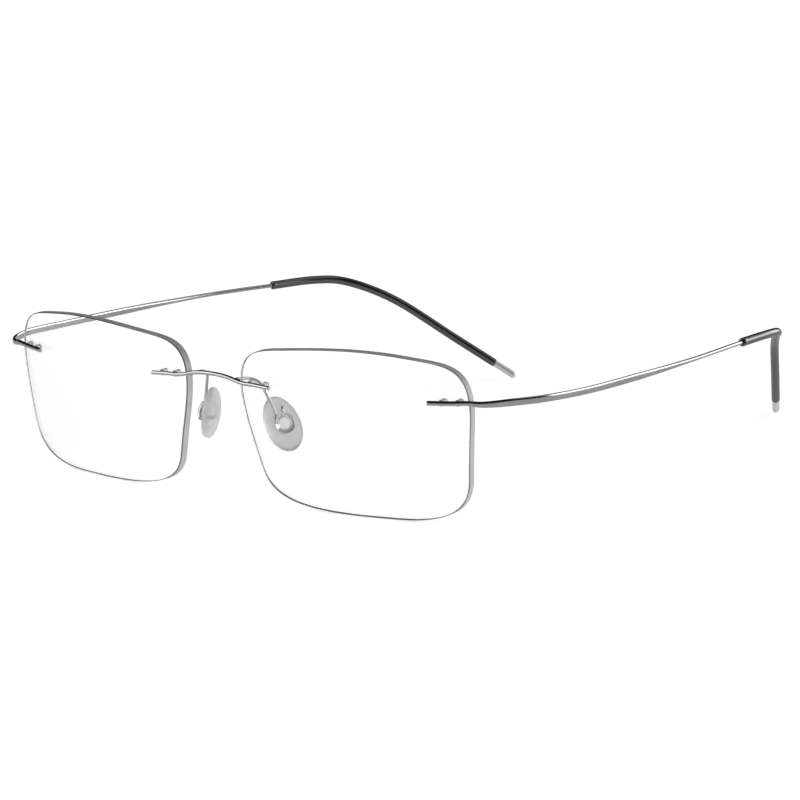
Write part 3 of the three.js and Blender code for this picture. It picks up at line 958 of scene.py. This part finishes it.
def build_pad(side_name, side):
    """A crowned oval silicone pad, a little narrower at the top, with a stud and a cap through the loop."""
    width, length = PAD_HALF
    back = -(ARM_RADIUS + PAD_GAP)
    front = back - PAD_DEPTH
    a = np.arange(PAD_SIDES) * 2 * math.pi / PAD_SIDES
    disc = np.stack([np.cos(a), np.sin(a)], axis=1)
    taper = 1 - PAD_NARROWER * np.sin(a)
    oval = np.stack([width * np.cos(a) * taper, length * np.sin(a)], axis=1)
    rings = pad_rings(oval, disc, front, back)
    first_in_cap = (len(rings) + len(STUD_FOOT) + 1) * PAD_SIDES
    rings += [flat_ring(disc * r, h) for r, h in stud_profile(back)]
    rings = np.array(rings) @ PAD_FRAME + LOOP_CENTRE
    points, faces, uv = skin(rings)
    in_cap = [min(f) >= first_in_cap for f in faces]
    materials = [MATERIAL["silicone"], MATERIAL["cap"]]
    piece = make_piece("nose_pad_" + side_name, points, faces, materials, side, in_cap, uv)
    orient(piece, PAD_SHARP_ANGLE)
    finish_piece(piece, side_name + "_pad", "silicone", side_name + "_nose_pad")


def build_side(side_name, side):
    looks = [MATERIAL[look] for look in ("clear", "ground", "bevel")]
    lens = build_lens("lens_" + side_name, side, *looks)
    finish_piece(lens, "front", "lens", side_name + "_lens")
    for wire, fixings in (("bridge", BRIDGE_FIXINGS), ("temple", TEMPLE_FIXINGS)):
        for place, position in zip(fixings, ("inner", "outer")):
            build_bushing(side_name, side, wire, place, position)
            build_pin(side_name, side, wire, place, position)
    build_temple_wire(side_name, side)
    build_sleeve(side_name, side)
    build_tip(side_name, side)
    build_pad_arm(side_name, side)
    build_pad(side_name, side)


build_bridge()
for side_name, side in SIDES.items():
    build_side(side_name, side)

# --- Floor, light and camera ----------------------------------------------------------------------


def build_floor():
    corners = np.array([[-1, -1, 0], [1, -1, 0], [1, 1, 0], [-1, 1, 0]]) * FLOOR_SIZE / 2
    mesh = bpy.data.meshes.new("floor")
    mesh.from_pydata(corners.tolist(), [], [[0, 1, 2, 3]])
    mesh.materials.append(pale_floor())
    floor = bpy.data.objects.new("floor", mesh)
    bpy.context.scene.collection.objects.link(floor)


def softbox(name, azimuth, elevation, distance, width, height, brightness):
    """A flat soft light of a given brightness, facing the glasses."""
    a, e = math.radians(azimuth), math.radians(elevation)
    back = Vector((math.sin(a) * math.cos(e), -math.cos(a) * math.cos(e), math.sin(e)))
    data = bpy.data.lights.new(name, "AREA")
    data.shape = "RECTANGLE"
    data.size, data.size_y = width, height
    data.energy = brightness * width * height * math.pi
    light = bpy.data.objects.new(name, data)
    light.location = Vector(LAMP_AIM) + back * distance
    light.rotation_mode = "QUATERNION"
    light.rotation_quaternion = (-back).to_track_quat("-Z", "Y")
    bpy.context.scene.collection.objects.link(light)


def studio():
    """Soft lamps under a sky that lights matt surfaces and is nearly black to all other rays."""
    scene = bpy.context.scene
    world = bpy.data.worlds.new("studio")
    world.use_nodes = True
    tree = world.node_tree
    background = tree.nodes["Background"]
    background.inputs["Color"].default_value = (1, 1, 1, 1)
    path = tree.nodes.new("ShaderNodeLightPath")
    strength = tree.nodes.new("ShaderNodeMapRange")
    strength.inputs["To Min"].default_value = SKY_FOR_SHINY
    strength.inputs["To Max"].default_value = SKY_FOR_MATT
    tree.links.new(path.outputs["Is Diffuse Ray"], strength.inputs["Value"])
    tree.links.new(strength.outputs["Result"], background.inputs["Strength"])
    scene.world = world
    for lamp in LAMPS:
        softbox(**lamp)
    scene.view_settings.view_transform = "Standard"


def camera():
    azimuth, elevation, roll = (math.radians(x) for x in CAMERA_ANGLES)
    back = Vector((
        math.sin(azimuth) * math.cos(elevation),
        -math.cos(azimuth) * math.cos(elevation),
        math.sin(elevation),
    ))
    level = Vector((math.cos(azimuth), math.sin(azimuth), 0))
    above = back.cross(level)
    right = level * math.cos(roll) + above * math.sin(roll)
    up = back.cross(right)
    data = bpy.data.cameras.new("camera")
    data.sensor_width = 36.0
    data.lens = CAMERA_LENS
    data.clip_end = 50.0
    eye = bpy.data.objects.new("camera", data)
    eye.rotation_mode = "QUATERNION"
    eye.rotation_quaternion = Matrix((right, up, back)).transposed().to_quaternion()
    eye.location = Vector(CAMERA_AIM) + back * CAMERA_DISTANCE
    bpy.context.scene.collection.objects.link(eye)
    bpy.context.scene.camera = eye


build_floor()
studio()
camera()
